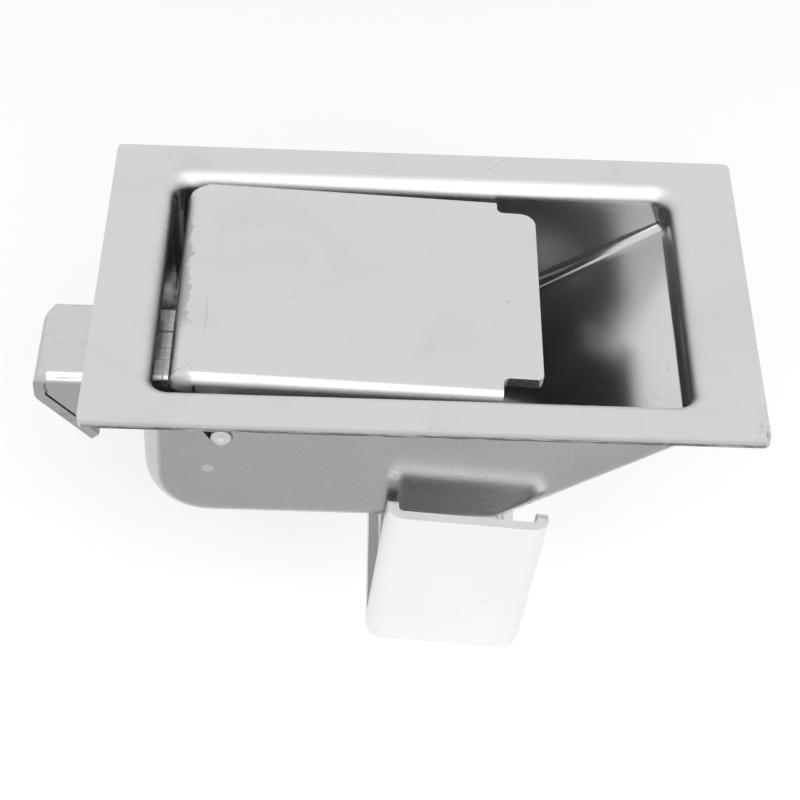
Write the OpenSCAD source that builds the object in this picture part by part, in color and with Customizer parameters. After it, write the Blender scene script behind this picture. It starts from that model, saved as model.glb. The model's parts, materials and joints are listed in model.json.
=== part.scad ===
// Flush paddle latch for a toolbox lid: a drawn pan with a lifting paddle, a spring bolt and a clamp
// bracket. Frame: origin at the middle of the flange, on its underside, where the panel lies.
// X runs from the bolt's nose to the finger recess, Y across the paddle, Z out of the panel.

/* [Sheet and flange] */
// Length of the flange
flange_l = 120; // [112:1:140]
// Width of the flange
flange_w = 74; // [73:1:90]
// Thickness of the pan and paddle sheet
sheet_t = 2; // [1.6:0.1:2.2]
// Thickness of the bolt and rail sheet
bolt_t = 2; // [1.6:0.1:2.1]
// Radius of the flange's corners
flange_corner_r = 1.2; // [0.8:0.1:5]

/* [Pan] */
// Inside length of the pan between its end walls
pan_l = 95.8; // [92:0.2:98]
// Inside width of the pan between its long walls
pan_w = 55.8; // [54:0.2:58]
// Distance from the flange's middle to the pan's middle, towards the recess
pan_shift = -0.3; // [-2:0.1:0]
// Outside depth of the pan below the panel face
pan_depth = 31.9; // [31:0.1:34]
// Outside radius of the drawn rim between flange and walls
rim_r = 3.5; // [3:0.1:4]
// Inside radius of the pan's upright corners
pan_corner_r = 3.5; // [3:0.1:6]
// Outside radius along the floor's edges
edge_r = 5; // [4:0.5:6]
// Outside radius from the bolt's end wall into the floor
heel_r = 11.7; // [11:0.1:14]
// Length of the floor from the bolt's end wall to the foot of the ramp
floor_l = 63.5; // [62:0.1:65]
// Outside radius at the foot of the ramp
ramp_r = 8; // [6:0.5:10]
// Slope of the finger ramp, in degrees
ramp_angle = 35.5; // [33:0.5:37]
// Outside radius where the ramp meets the end wall
ramp_top_r = 4; // [3:0.5:5]

/* [Hinge] */
// Distance from the end wall to the hinge pin
hinge_inset = 12.4; // [12:0.1:13]
// Depth of the hinge pin below the panel face
hinge_drop = 9.1; // [8.5:0.1:9.5]
// Radius of the hinge pin
pin_r = 2; // [1.5:0.1:2.2]
// Running clearance round the pin
pin_clear = 0.05; // [0.03:0.01:0.1]
// How far the pin's ends stand out of the walls
pin_proud = 0.4; // [0.2:0.1:0.8]
// Length of the slot that the pin is dropped in through
pin_slot_l = 3.6; // [2:0.2:4]
// Slope of that slot, up towards the end wall, in degrees
pin_slot_angle = 58; // [45:1:75]

/* [Paddle] */
// Gap between the paddle's rolled end and the end wall
paddle_gap = 2.4; // [2.2:0.1:3]
// Gap between the paddle's sides and the long walls
paddle_side_gap = 1.4; // [1:0.1:2]
// Length of the paddle without its finger tab
paddle_l = 59.4; // [57:0.1:61]
// How far the level paddle stands above the flange
paddle_proud = 0.5; // [0:0.1:0.6]
// Sag of the resting paddle towards the finger tab, in degrees
paddle_droop = 2.5; // [1.5:0.1:2.8]
// Outside radius of the paddle's side bends
paddle_side_r = 2.4; // [2.3:0.1:4]
// Outside radius of the paddle's rolled end
paddle_end_r = 4.5; // [4:0.1:5]
// Depth of the paddle's sides at the finger end
paddle_side_h = 8; // [6:0.5:10]
// Radius of the paddle's sides round the pin
paddle_boss_r = 5; // [4:0.1:5.2]
// Length of the finger tab
tab_l = 7.3; // [5:0.1:9]
// Step from the paddle's sides in to the finger tab
tab_step = 4.3; // [4:0.1:5.5]
// Radius of the finger tab's far corner
tab_corner_r = 3; // [1:0.1:4]
// Radius of the finger tab's near corner and of its notches
tab_notch_r = 1.2; // [0.5:0.1:1.5]
// Depth of the paddle's rolled end
end_h = 9; // [8:0.5:10]
// Width of the tail that draws the bolt
tail_w = 10; // [8:0.5:10.4]
// Joggle of the tail in from the paddle's rolled end
tail_set = 3; // [1.5:0.1:3.4]
// Depth of the tail's tip below the panel face
tail_drop = 24.1; // [23.5:0.1:24.5]

/* [Bolt] */
// Width of the bolt
bolt_w = 20.6; // [20:0.1:22]
// Depth of the bolt's top below the panel face
bolt_drop = 15; // [14.5:0.1:15.5]
// Height of the bolt's sides behind the nose
bolt_h = 10.2; // [9:0.1:10.4]
// Height of the bolt's sides at the nose
cheek_h = 12.5; // [11:0.5:13]
// How far the nose reaches past the flange's end
nose_reach = 12.4; // [8:0.1:14]
// Length of the deep sides from the nose
cheek_l = 14.4; // [12:0.1:15]
// Outside radius of the bolt's side bends
bolt_side_r = 2.3; // [2.2:0.1:3]
// Outside radius of the bends at the nose
nose_r = 2.5; // [2:0.1:3]
// Height of the upright land on the nose
land_h = 2.5; // [2:0.1:4]
// Slope of the slam face, in degrees from level
slam_angle = 48; // [45:1:55]
// Length of the slam face behind its bend
slam_l = 14; // [13:0.1:16]
// Gap between the slam face and the sides of the bolt
cheek_gap = 0.5; // [0.3:0.1:1]
// Cut across the nose's corner, along the bolt
nose_cut_l = 2.4; // [1:0.1:3]
// Cut across the nose's corner, across the bolt
nose_cut_w = 3.1; // [2:0.1:5]
// Travel of the bolt
bolt_travel = 5.3; // [5:0.1:5.5]
// Clearance round sliding faces
slide_clear = 0.3; // [0.2:0.05:0.4]
// Distance from the hinge pin to the bolt's rear lug
lug_reach = 24; // [23:0.5:26]
// Height of the bolt's rear lug above its top
lug_h = 11; // [10:0.5:12]
// Width of the bolt's rear lug
lug_w = 12; // [10:0.5:14]

/* [Guide rail] */
// Distance from the hinge pin to the rail's near end
rail_inset = 4; // [3:0.5:6]
// Length of the rail
rail_l = 41.5; // [40:0.5:43]
// Width of each foot of the rail
rail_foot_w = 6.5; // [6.5:0.1:7]
// Outside radius of the rail's bends
rail_r = 2.3; // [2.2:0.1:2.6]
// Height of the spring stop above the rail
stop_h = 13; // [12:0.5:14]
// Radius of the rivets' shanks
rivet_r = 1.6; // [1.2:0.1:2]
// Radius of the rivets' heads
rivet_head_r = 3; // [2.6:0.1:3.2]
// Height of the rivets' heads
rivet_head_h = 1.2; // [0.8:0.1:1.4]
// Distance from the rail's ends to the rivets
rivet_inset = 6; // [5:0.5:8]
// Radius of the keeper's shoulder
keeper_r = 2.5; // [2:0.1:3]
// Radius of the keeper's head
keeper_head_r = 4.5; // [4:0.1:5]
// Height of the keeper's head
keeper_head_h = 1.5; // [1:0.1:2]
// Distance from the hinge pin to the keeper
keeper_reach = 14; // [13:0.5:15]

/* [Springs] */
// Wire radius of the bolt spring
bolt_wire_r = 0.5; // [0.3:0.05:0.6]
// Mean radius of the bolt spring's coil
bolt_coil_r = 3.2; // [2.8:0.1:4]
// Turns of the bolt spring
bolt_turns = 8; // [6:1:10]
// Radius of the rod that carries the bolt spring
rod_r = 1.5; // [1:0.1:1.8]
// Wire radius of the paddle spring
paddle_wire_r = 0.6; // [0.4:0.05:0.7]
// Gap between the hinge pin and the paddle spring's coil
paddle_coil_gap = 0.6; // [0.4:0.1:0.8]
// Turns of the paddle spring
paddle_turns = 5; // [3:1:6]
// Distance from the paddle's middle to the paddle spring
paddle_spring_y = 16.6; // [16.4:0.1:17]

/* [Clamp] */
// Radius of the clamp stud
stud_r = 3; // [2.5:0.1:3]
// Length of the clamp stud
stud_l = 41; // [40.5:0.5:44]
// Distance from the foot of the ramp back to the stud
stud_inset = 9.6; // [9:0.1:11]
// Radius of the stud's welded base
stud_base_r = 4.5; // [4:0.1:4.5]
// Thickness of the stud's welded base
stud_base_h = 1.2; // [0.8:0.1:1.5]
// Width of the clamp bracket
bracket_w = 29.6; // [24:0.1:32]
// Height of the bracket's arms
bracket_h = 39.4; // [36:0.1:40]
// Thickness of the bracket's sheet
bracket_t = 2; // [1.5:0.1:2]
// Depth of the bracket's turned edges, with the sheet
bracket_lip = 5.4; // [4.5:0.1:5.6]
// Outside radius of the bracket's turned edges
bracket_edge_r = 3; // [2.5:0.1:3.5]
// Radius of the far corners on the bracket's turned edges
bracket_tip_r = 2.4; // [1:0.1:3]
// Outside radius of the bracket's bends
bracket_bend_r = 6; // [5.8:0.1:7]
// Gap between the bracket's arms and the pan's walls
bracket_gap = 1.2; // [1.1:0.1:2]
// Depth of the resting bracket's underside below the panel face
bracket_drop = 62.6; // [62:0.1:66]
// Lean of the loose bracket, in degrees
bracket_lean = 5; // [0:0.1:6]
// Clearance round the stud in the bracket
bracket_clear = 1; // [0.8:0.1:1.5]
// Radius of the flat washer
washer_r = 6; // [5.5:0.1:7]
// Thickness of the flat washer
washer_t = 1.2; // [0.8:0.1:1.6]
// Radius of the lock washer
lock_r = 5; // [4.8:0.1:5.4]
// Thickness of the lock washer
lock_t = 1.5; // [1:0.1:2]
// Cut in the lock washer
lock_cut = 1; // [0.6:0.1:1.5]
// Width of the nut across its flats
nut_flats = 10; // [9:0.1:11]
// Height of the nut
nut_h = 5; // [4:0.1:6]
// Clearance between the stud and what slides on it
stud_clear = 0.1; // [0.05:0.01:0.2]

/* [Hidden] */

steel = [0.80, 0.81, 0.82];
wire_steel = [0.62, 0.63, 0.65];
zinc = [0.90, 0.92, 0.94];

round_fn = 64;
shell_fn = 48;
corner_fn = 24;
cut = 1;

// Pan walls, inside and outside
wall_x0 = pan_shift - pan_l / 2;
wall_x1 = pan_shift + pan_l / 2;
wall_y = pan_w / 2;
out_x0 = wall_x0 - sheet_t;
out_x1 = wall_x1 + sheet_t;
out_y = wall_y + sheet_t;
floor_z = sheet_t - pan_depth;
rim_z = sheet_t - rim_r;
ramp_x = wall_x0 + floor_l;

// Hinge axis
hinge_x = wall_x0 + hinge_inset;
hinge_z = -hinge_drop;
hole_r = pin_r + pin_clear;

// Paddle edges, as it lies level
paddle_x0 = wall_x0 + paddle_gap;
paddle_x1 = paddle_x0 + paddle_l;
paddle_y = wall_y - paddle_side_gap;
paddle_z = sheet_t + paddle_proud;
paddle_side_x0 = hinge_x - paddle_boss_r;
tail_x = paddle_x0 + tail_set + sheet_t;

// Bolt faces
bolt_y = bolt_w / 2;
bolt_z = -bolt_drop;
bolt_under = bolt_z - bolt_t;
nose_x = -flange_l / 2 - nose_reach;
lug_x = hinge_x + lug_reach;
bolt_in_y = bolt_y - bolt_t;
// Far end of the nose, level with the outline of the side bend
nose_y = bolt_y - bolt_side_r / 2;
// The resting tail's front face where it passes the bolt's top
tail_rest_x = droop_x(tail_x, bolt_z);
tab_x = tail_rest_x + slide_clear;
// The tail swings less at the bolt's top than at its tip, so the bolt overtakes it by this much
tail_lag = bolt_travel * (1 - (hinge_z - bolt_z) / (hinge_z + tail_drop));
tail_slot_x0 = tail_rest_x - sheet_t - tail_lag - 3 * slide_clear;
tail_slot_w = tail_w + 2 * slide_clear;

// Guide rail faces
rail_x0 = hinge_x + rail_inset;
rail_x1 = rail_x0 + rail_l;
rail_y = bolt_in_y - slide_clear;
rail_z = bolt_under - slide_clear / 2;
keeper_x = hinge_x + keeper_reach;
rivet_y = rail_y + (rail_foot_w + rail_r - bolt_t) / 2;
rod_z = bolt_z + lug_h / 2;
stop_x = rail_x1 - bolt_t;

// Clamp places
stud_x = ramp_x - stud_inset;
arm_y = out_y + bracket_gap + bracket_lip;
bracket_z = -bracket_drop;
washer_z = bracket_z - washer_r * tan(bracket_lean) - slide_clear / 2;
lock_z = washer_z - washer_t;
nut_z = lock_z - lock_t;

// Places along X after the paddle's sag about the hinge, at a given height on a level paddle's upright face
function droop_x(x, z) =
    let (along = x - hinge_x)
    let (up = (z - hinge_z + along * sin(paddle_droop)) / cos(paddle_droop))
    hinge_x + along * cos(paddle_droop) + up * sin(paddle_droop);

// Height of the heel's inner face at a place along X
function heel_top(x) =
    heel_r - pan_depth - sqrt(pow(heel_r - sheet_t, 2) - pow(max(0, out_x0 + heel_r - x), 2));

// Points where a line from a place touches a circle's lower side, as seen from the right
function touch(centre, r, place) =
    let (d = place - centre)
    let (turn = atan2(d[1], d[0]) - acos(r / norm(d)))
    centre + r * [cos(turn), sin(turn)];

function unit(v) = v / norm(v);

// Quarter of a bent sheet, from the upright limb on the left to the level limb on top
module bend(r, t) {
    intersection() {
        difference() {
            circle(r = r, $fn = round_fn);
            circle(r = r - t, $fn = round_fn);
        }
        translate([-r, 0])
            square(r);
    }
}

// Rectangle with round corners, about the origin
module round_rect(l, w, r) {
    square([l - 2 * r, w], center = true);
    square([l, w - 2 * r], center = true);
    for (x = [-1, 1], y = [-1, 1])
        translate([x * (l / 2 - r), y * (w / 2 - r)])
            circle(r = r, $fn = round_fn);
}

// Slot with round ends, upright, from one place to another on its length
module slot(x0, x1, r, h) {
    for (x = [x0 + r, x1 - r])
        translate([x, 0, 0])
            cylinder(r = r, h = h, $fn = round_fn);
    translate([x0 + r, -r, 0])
        cube([x1 - x0 - 2 * r, 2 * r, h]);
}

// Profile drawn in X and Z, run along Y between two places
module run_y(y0, y1) {
    translate([0, y1, 0])
        rotate([90, 0, 0])
            linear_extrude(y1 - y0)
                children();
}

// Profile drawn in Y and Z, run along X between two places
module run_x(x0, x1) {
    translate([x0, 0, 0])
        rotate([90, 0, 90])
            linear_extrude(x1 - x0)
                children();
}

// Round bar along Y through the hinge axis
module bar_y(r, y0, y1) {
    translate([0, y1, 0])
        rotate([90, 0, 0])
            cylinder(r = r, h = y1 - y0, $fn = round_fn);
}

// Round bar along X
module bar_x(r, x0, x1) {
    translate([x0, 0, 0])
        rotate([0, 90, 0])
            cylinder(r = r, h = x1 - x0, $fn = round_fn);
}

// Round wire along a path, with rings square to it
module wire(path, r, across, sides = 8) {
    last = len(path) - 1;
    rings = [
        for (i = [0 : last])
            let (way = unit(path[min(i + 1, last)] - path[max(i - 1, 0)]))
            let (side = unit(cross(way, across)))
            let (other = cross(side, way))
            for (k = [0 : sides - 1])
                path[i] + r * (cos(360 * k / sides) * side + sin(360 * k / sides) * other)
    ];
    skin = [
        for (i = [0 : last - 1], k = [0 : sides - 1])
            let (n = (k + 1) % sides)
            [i * sides + k, i * sides + n, (i + 1) * sides + n, (i + 1) * sides + k]
    ];
    ends = [[for (k = [sides - 1 : -1 : 0]) k], [for (k = [0 : sides - 1]) last * sides + k]];
    polyhedron(points = rings, faces = concat(skin, ends), convexity = 6);
}

// Wheel with a round edge, its axle along Y
module wheel(r, edge) {
    rotate([90, 0, 0])
        rotate_extrude($fn = shell_fn)
            intersection() {
                translate([r - edge, 0])
                    circle(r = edge, $fn = shell_fn);
                translate([0, -edge])
                    square([r, 2 * edge]);
            }
}

// Convex body of the pan, its skin set in by a given amount
module pan_body(inset) {
    foot = [ramp_x - ramp_r * tan(ramp_angle / 2), ramp_r - pan_depth];
    head_x = out_x1 - ramp_top_r;
    head_z = ramp_top_r / cos(ramp_angle) - pan_depth + (head_x - ramp_x) * tan(ramp_angle);
    hull() {
        for (side = [-1, 1]) {
            translate([out_x0 + heel_r, side * (out_y - edge_r), heel_r - pan_depth])
                wheel(heel_r - inset, edge_r - inset);
            translate([foot[0], side * (out_y - edge_r), foot[1]])
                wheel(ramp_r - inset, edge_r - inset);
            translate([head_x, side * (out_y - ramp_top_r), head_z])
                wheel(ramp_top_r - inset, ramp_top_r - inset);
        }
        translate([pan_shift, 0, rim_z - sheet_t])
            linear_extrude(sheet_t)
                round_rect(pan_l + 2 * (sheet_t - inset), pan_w + 2 * (sheet_t - inset),
                    pan_corner_r + sheet_t - inset);
    }
}

// Drawn rim from the flange into the pan's walls
module rim() {
    mid_l = pan_l / 2 - pan_corner_r;
    mid_w = pan_w / 2 - pan_corner_r;
    bend_at = pan_corner_r + rim_r;
    translate([pan_shift, 0, rim_z]) {
        for (side = [0, 1])
            mirror([0, side, 0])
                run_x(-mid_l, mid_l)
                    translate([mid_w + bend_at, 0])
                        bend(rim_r, sheet_t);
        for (side = [0, 1])
            mirror([side, 0, 0])
                run_y(-mid_w, mid_w)
                    translate([mid_l + bend_at, 0])
                        bend(rim_r, sheet_t);
        for (x = [0, 1], y = [0, 1])
            mirror([x, 0, 0])
                mirror([0, y, 0])
                    translate([mid_l, mid_w, 0])
                        rotate_extrude(angle = 90, $fn = round_fn)
                            translate([bend_at, 0])
                                bend(rim_r, sheet_t);
    }
}

// Slot through both long walls that the hinge pin is dropped in through
module pin_slots() {
    reach = out_y + cut;
    translate([hinge_x, 0, hinge_z]) {
        bar_y(hole_r, -reach, reach);
        rotate([0, pin_slot_angle - 180, 0]) {
            translate([pin_slot_l, 0, 0])
                bar_y(hole_r, -reach, reach);
            translate([0, -reach, -hole_r])
                cube([pin_slot_l, 2 * reach, 2 * hole_r]);
        }
    }
}

// Window in the end wall that the bolt slides through
module bolt_window() {
    deep = bolt_h + 2 * slide_clear;
    translate([out_x0 - cut, -bolt_y - slide_clear, bolt_z + slide_clear - deep])
        cube([heel_r, bolt_w + 2 * slide_clear, deep]);
}

module at_rivets() {
    for (x = [rail_x0 + rivet_inset, rail_x1 - rivet_inset], y = [-rivet_y, rivet_y])
        translate([x, y, 0])
            children();
}

module pan() {
    color(steel)
        difference() {
            union() {
                linear_extrude(sheet_t)
                    difference() {
                        round_rect(flange_l, flange_w, flange_corner_r);
                        translate([pan_shift, 0])
                            round_rect(pan_l + 2 * rim_r, pan_w + 2 * rim_r, pan_corner_r + rim_r);
                    }
                rim();
                difference() {
                    pan_body(0);
                    pan_body(sheet_t);
                    translate([-flange_l / 2, -flange_w / 2, rim_z])
                        cube([flange_l, flange_w, edge_r]);
                }
            }
            pin_slots();
            bolt_window();
            translate([0, 0, -pan_depth - cut])
                at_rivets()
                    cylinder(r = rivet_r + pin_clear, h = sheet_t + 2 * cut, $fn = round_fn);
        }
}

module hinge_pin() {
    half = out_y + pin_proud;
    dimple = pin_r / 2;
    color(steel)
        translate([hinge_x, 0, hinge_z])
            rotate([90, 0, 0])
                rotate_extrude($fn = round_fn)
                    polygon([
                        [0, -half + pin_proud], [dimple, -half],
                        [pin_r - pin_proud / 2, -half], [pin_r, -half + pin_proud / 2],
                        [pin_r, half - pin_proud / 2], [pin_r - pin_proud / 2, half],
                        [dimple, half], [0, half - pin_proud]
                    ]);
}

// One turned-down side of the paddle, outline in X and Z
module paddle_side_outline() {
    hinge = [hinge_x, hinge_z];
    low = paddle_z - paddle_side_h;
    at = touch(hinge, paddle_boss_r, [paddle_x1, low]);
    top = paddle_z - paddle_side_r;
    difference() {
        union() {
            translate(hinge)
                circle(r = paddle_boss_r, $fn = round_fn);
            polygon([
                [paddle_side_x0, hinge_z], hinge, at,
                [paddle_x1, low], [paddle_x1, top], [paddle_side_x0, top]
            ]);
        }
        translate(hinge)
            circle(r = hole_r, $fn = round_fn);
    }
}

// Round corner between the paddle's rolled end and one side, filled, its skin set in by a given amount
module corner_form(inset) {
    hull() {
        scale([paddle_end_r - inset, paddle_side_r - inset, paddle_end_r - inset])
            sphere(r = 1, $fn = corner_fn);
        translate([0, 0, paddle_end_r - paddle_side_r])
            bar_x(paddle_side_r - inset, -slide_clear, cut);
    }
}

// Closed corner of the paddle's skin
module paddle_corner() {
    translate([paddle_x0 + paddle_end_r, -paddle_y + paddle_side_r, paddle_z - paddle_end_r])
        difference() {
            intersection() {
                corner_form(0);
                translate([-paddle_end_r - cut, -paddle_side_r - cut, 0])
                    cube([paddle_end_r + cut, paddle_side_r + cut, paddle_end_r + cut]);
            }
            corner_form(sheet_t);
        }
}

// Flat top of the paddle with its finger tab and the filleted notches beside it
module paddle_top() {
    tab_y = paddle_y - tab_step;
    tab_x1 = paddle_x1 + tab_l;
    corner_x = tab_x1 - tab_corner_r;
    flat_y = paddle_y - paddle_side_r;
    roll_x = paddle_x0 + paddle_end_r;
    translate([0, 0, paddle_z - sheet_t])
        linear_extrude(sheet_t) {
            translate([roll_x, -flat_y])
                square([paddle_x1 - roll_x, 2 * flat_y]);
            translate([roll_x, -tab_y])
                square([corner_x - roll_x, 2 * tab_y]);
            translate([corner_x, -tab_y + tab_notch_r])
                square([tab_corner_r, 2 * tab_y - tab_notch_r - tab_corner_r]);
            translate([corner_x, -tab_y])
                square([tab_corner_r - tab_notch_r, tab_notch_r]);
            translate([tab_x1 - tab_notch_r, -tab_y + tab_notch_r])
                circle(r = tab_notch_r, $fn = round_fn);
            translate([corner_x, tab_y - tab_corner_r])
                circle(r = tab_corner_r, $fn = round_fn);
            for (side = [0, 1])
                mirror([0, side])
                    translate([paddle_x1, tab_y])
                        difference() {
                            square(tab_notch_r);
                            translate([tab_notch_r, tab_notch_r])
                                circle(r = tab_notch_r, $fn = round_fn);
                        }
        }
}

// Rolled end of the paddle with its apron and the tail that draws the bolt
module paddle_end() {
    flat_y = paddle_y - paddle_side_r;
    end_y = flat_y - paddle_side_r;
    run_y(-flat_y, flat_y)
        translate([paddle_x0 + paddle_end_r, paddle_z - paddle_end_r])
            bend(paddle_end_r, sheet_t);
    translate([paddle_x0, -end_y, paddle_z - end_h])
        cube([sheet_t, 2 * end_y, end_h - paddle_end_r]);
    translate([paddle_x0, -tail_w / 2, paddle_z - end_h - sheet_t])
        cube([tail_set + sheet_t, tail_w, sheet_t]);
    translate([tail_x - sheet_t, -tail_w / 2, -tail_drop])
        cube([sheet_t, tail_w, tail_drop + paddle_z - end_h]);
}

module paddle() {
    color(steel)
        translate([hinge_x, 0, hinge_z])
            rotate([0, paddle_droop, 0])
                translate([-hinge_x, 0, -hinge_z]) {
                    paddle_top();
                    paddle_end();
                    for (side = [0, 1])
                        mirror([0, side, 0]) {
                            paddle_corner();
                            run_x(paddle_x0 + paddle_end_r, paddle_x1)
                                translate([-paddle_y + paddle_side_r, paddle_z - paddle_side_r])
                                    bend(paddle_side_r, sheet_t);
                            run_y(-paddle_y, -paddle_y + sheet_t)
                                paddle_side_outline();
                        }
                }
}

// Torsion spring on the hinge pin: one arm lifts the paddle's end, the other stands on the pan's floor
module paddle_spring() {
    coil_r = pin_r + paddle_coil_gap + paddle_wire_r;
    pitch = 2 * paddle_wire_r + slide_clear / 2;
    steps = 16;
    arm_x = hinge_x - coil_r;
    top_z = paddle_z - sheet_t - slide_clear;
    low_z = heel_top(arm_x - paddle_wire_r) + 2 * slide_clear;
    far_y = paddle_spring_y + pitch * paddle_turns;
    coil = [
        for (i = [0 : paddle_turns * steps])
            [hinge_x - coil_r * cos(360 * i / steps), paddle_spring_y + pitch * i / steps,
                hinge_z + coil_r * sin(360 * i / steps)]
    ];
    color(wire_steel)
        wire(concat(
            [[arm_x, paddle_spring_y, low_z], [arm_x, paddle_spring_y, hinge_z - coil_r]],
            coil,
            [[arm_x, far_y, hinge_z + coil_r], [arm_x, far_y, top_z]]
        ), paddle_wire_r, [0, 1, 0]);
}

// Bent strip of the bolt's nose in X and Z: top, land and slam face
module nose_outline() {
    low = bolt_z - nose_r - land_h;
    turn = 90 - slam_angle;
    translate([nose_x + nose_r, bolt_z - nose_r])
        bend(nose_r, bolt_t);
    translate([nose_x, low])
        square([bolt_t, land_h]);
    translate([nose_x + nose_r, low]) {
        intersection() {
            difference() {
                circle(r = nose_r, $fn = round_fn);
                circle(r = nose_r - bolt_t, $fn = round_fn);
            }
            polygon([[0, 0], [-2 * nose_r, 0], 2 * nose_r * [-1, -tan(turn)]]);
        }
        rotate(turn)
            translate([-nose_r, -slam_l])
                square([bolt_t, slam_l + slide_clear / 10]);
    }
}

// One side of the bolt in X and Z, cut clear of the slam face
module bolt_side_outline() {
    front = nose_x + bolt_t + cheek_gap;
    top = bolt_z - bolt_side_r;
    low = bolt_z - bolt_h;
    deep = bolt_z - cheek_h;
    set_in = nose_r - bolt_t - cheek_gap;
    turn = 90 - slam_angle;
    start = [nose_x + nose_r, bolt_z - nose_r - land_h] - set_in * [cos(turn), sin(turn)];
    foot_x = start[0] + (start[1] - deep) * tan(turn);
    polygon([
        [front, top], [front, start[1]], start, [foot_x, deep], [nose_x + cheek_l, deep],
        [nose_x + cheek_l, low], [lug_x, low], [lug_x, top]
    ]);
}

// Long hole in the bolt's top that the keeper runs in, and the window for the paddle's tail
module bolt_cuts() {
    keeper_hole_r = keeper_r + slide_clear;
    translate([0, 0, bolt_under - cut]) {
        slot(
            keeper_x - keeper_hole_r - bolt_travel, keeper_x + keeper_hole_r,
            keeper_hole_r, bolt_t + 2 * cut
        );
        translate([tail_slot_x0, -tail_slot_w / 2, 0])
            cube([tab_x - tail_slot_x0, tail_slot_w, bolt_t + 2 * cut]);
    }
    translate([nose_x, nose_y, -pan_depth - bolt_drop])
        linear_extrude(pan_depth + bolt_drop)
            polygon([
                [-cut, -nose_cut_w], [0, -nose_cut_w], [nose_cut_l, 0],
                [nose_cut_l, bolt_side_r], [-cut, bolt_side_r]
            ]);
}

module latch_bolt() {
    side_x0 = nose_x + bolt_t + cheek_gap;
    flat_y = bolt_y - bolt_side_r;
    color(steel)
        difference() {
            union() {
                run_y(-bolt_y, nose_y)
                    nose_outline();
                translate([nose_x + nose_r, -flat_y, bolt_under])
                    cube([lug_x - nose_x - nose_r, 2 * flat_y, bolt_t]);
                for (side = [0, 1])
                    mirror([0, side, 0]) {
                        run_x(side_x0, lug_x)
                            translate([-flat_y, bolt_z - bolt_side_r])
                                bend(bolt_side_r, bolt_t);
                        run_y(-bolt_y, -bolt_y + bolt_t)
                            bolt_side_outline();
                    }
                translate([tab_x, -tail_w / 2, bolt_z - bolt_h])
                    cube([bolt_t, tail_w, bolt_h - bolt_t / 2]);
                translate([lug_x - bolt_t, -lug_w / 2, bolt_under])
                    cube([bolt_t, lug_w, bolt_t + lug_h]);
            }
            bolt_cuts();
            translate([0, 0, rod_z])
                bar_x(rod_r + pin_clear, lug_x - bolt_t - cut, lug_x + cut);
        }
}

// Headed rod that the bolt spring sits on, carried by the bolt's lug
module spring_rod() {
    head_h = bolt_t;
    color(steel)
        translate([0, 0, rod_z]) {
            bar_x(rod_r, lug_x - bolt_t, rail_x1 + bolt_t);
            bar_x(2 * rod_r, lug_x - bolt_t - head_h, lug_x - bolt_t);
        }
}

module bolt_spring() {
    steps = 16;
    x0 = lug_x + bolt_wire_r;
    x1 = stop_x - bolt_wire_r;
    color(wire_steel)
        wire([
            for (i = [0 : bolt_turns * steps])
                [x0 + (x1 - x0) * i / (bolt_turns * steps), bolt_coil_r * cos(360 * i / steps),
                    rod_z + bolt_coil_r * sin(360 * i / steps)]
        ], bolt_wire_r, [1, 0, 0]);
}

// Half of the rail's hat section in Y and Z
module rail_half_outline() {
    foot_y1 = rail_y + rail_foot_w;
    web_w = rail_y - rail_r;
    translate([-rail_y + rail_r, rail_z - rail_r])
        bend(rail_r, bolt_t);
    translate([-web_w, rail_z - bolt_t])
        square([web_w, bolt_t]);
    translate([-rail_y, floor_z + rail_r])
        square([bolt_t, rail_z - rail_r - floor_z - rail_r]);
    translate([-rail_y - rail_r + bolt_t, floor_z + rail_r])
        rotate(180)
            bend(rail_r, bolt_t);
    translate([-foot_y1, floor_z])
        square([foot_y1 - rail_y - rail_r + bolt_t, bolt_t]);
}

// Hat-section rail on the pan's floor that the bolt straddles, with the spring's stop turned up at its end
module bolt_rail() {
    color(steel)
        difference() {
            union() {
                for (side = [0, 1])
                    mirror([0, side, 0])
                        run_x(rail_x0, rail_x1)
                            rail_half_outline();
                translate([stop_x, -rail_y + rail_r, rail_z - bolt_t])
                    cube([bolt_t, 2 * (rail_y - rail_r), bolt_t + stop_h]);
            }
            translate([0, 0, rod_z])
                bar_x(rod_r + slide_clear, stop_x - cut, rail_x1 + cut);
            translate([keeper_x, 0, rail_z - bolt_t - cut])
                cylinder(r = rivet_r + pin_clear, h = bolt_t + 2 * cut, $fn = round_fn);
            translate([0, 0, floor_z - cut])
                at_rivets()
                    cylinder(r = rivet_r + pin_clear, h = bolt_t + 2 * cut, $fn = round_fn);
        }
}

// Rivet through a stack of sheets, with a round head at each end
module rivet(z0, z1) {
    translate([0, 0, z0 - rivet_head_h])
        cylinder(r1 = rivet_head_r - rivet_head_h / 2, r2 = rivet_head_r, h = rivet_head_h, $fn = round_fn);
    translate([0, 0, z0])
        cylinder(r = rivet_r, h = z1 - z0, $fn = round_fn);
    translate([0, 0, z1])
        cylinder(r1 = rivet_head_r, r2 = rivet_head_r - rivet_head_h / 2, h = rivet_head_h, $fn = round_fn);
}

module rail_rivets() {
    color(steel)
        at_rivets()
            rivet(-pan_depth, floor_z + bolt_t);
}

// Shouldered rivet that keeps the bolt down on its rail
module bolt_keeper() {
    head_z = bolt_z + slide_clear / 2;
    under = rail_z - bolt_t;
    color(steel)
        translate([keeper_x, 0, 0]) {
            translate([0, 0, head_z])
                cylinder(r = keeper_head_r, h = keeper_head_h, $fn = round_fn);
            translate([0, 0, rail_z])
                cylinder(r = keeper_r, h = head_z - rail_z, $fn = round_fn);
            translate([0, 0, under])
                cylinder(r = rivet_r, h = bolt_t, $fn = round_fn);
            translate([0, 0, under - rivet_head_h])
                cylinder(r1 = rivet_head_r - rivet_head_h / 2, r2 = rivet_head_r, h = rivet_head_h,
                    $fn = round_fn);
        }
}

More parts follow.
